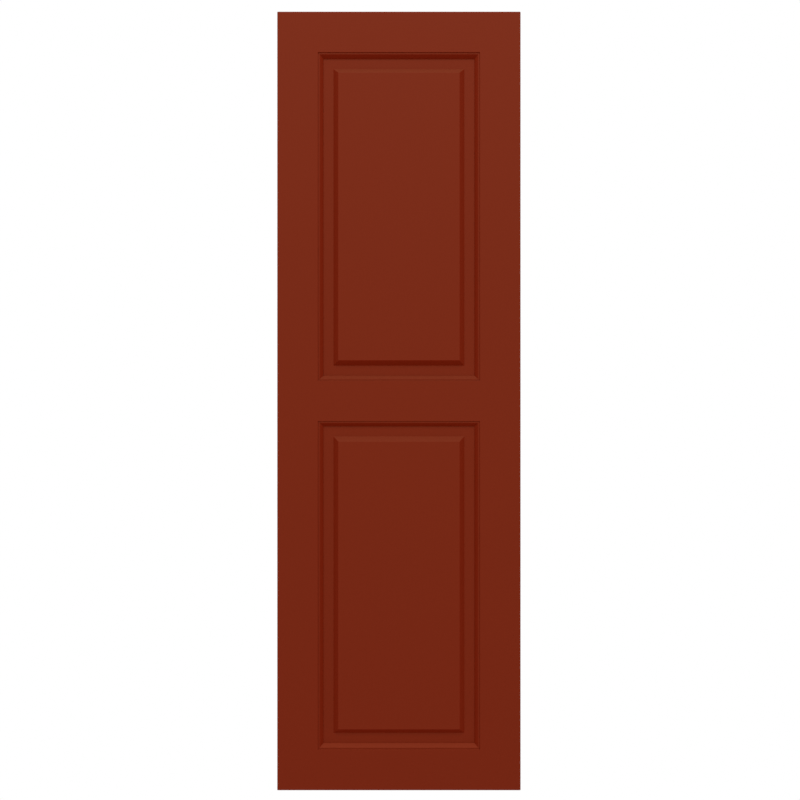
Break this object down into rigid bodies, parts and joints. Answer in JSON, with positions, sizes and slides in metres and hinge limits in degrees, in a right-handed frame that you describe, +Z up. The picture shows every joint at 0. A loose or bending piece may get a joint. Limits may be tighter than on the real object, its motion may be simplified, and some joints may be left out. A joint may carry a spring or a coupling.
{
  "type": "exterior shutter",
  "caption": "Framed and panelled exterior window shutter with raised panels set in mitred beads, hung flat against a wall beside a window.",
  "frame": {"origin": "middle of the shutter's flat back, on the back face of the middle rail, where it lies against the wall", "axes": "+X across the shutter, to the right of a viewer who faces its front; +Y into the wall, so the front faces -Y; +Z up"},
  "size_m": [0.381, 0.0286, 1.2192],
  "materials": {
    "frame_paint": "satin",
    "panel_paint": "satin",
    "bead_paint": "satin"
  },
  "bodies": {
    "root": {"left_stile": "frame_paint", "right_stile": "frame_paint", "top_rail": "frame_paint", "middle_rail": "frame_paint", "bottom_rail": "frame_paint", "upper_panel": "panel_paint", "lower_panel": "panel_paint", "upper_bead_top": "bead_paint", "upper_bead_bottom": "bead_paint", "upper_bead_left": "bead_paint", "upper_bead_right": "bead_paint", "lower_bead_top": "bead_paint", "lower_bead_bottom": "bead_paint", "lower_bead_left": "bead_paint", "lower_bead_right": "bead_paint"}
  },
  "joints": []
}
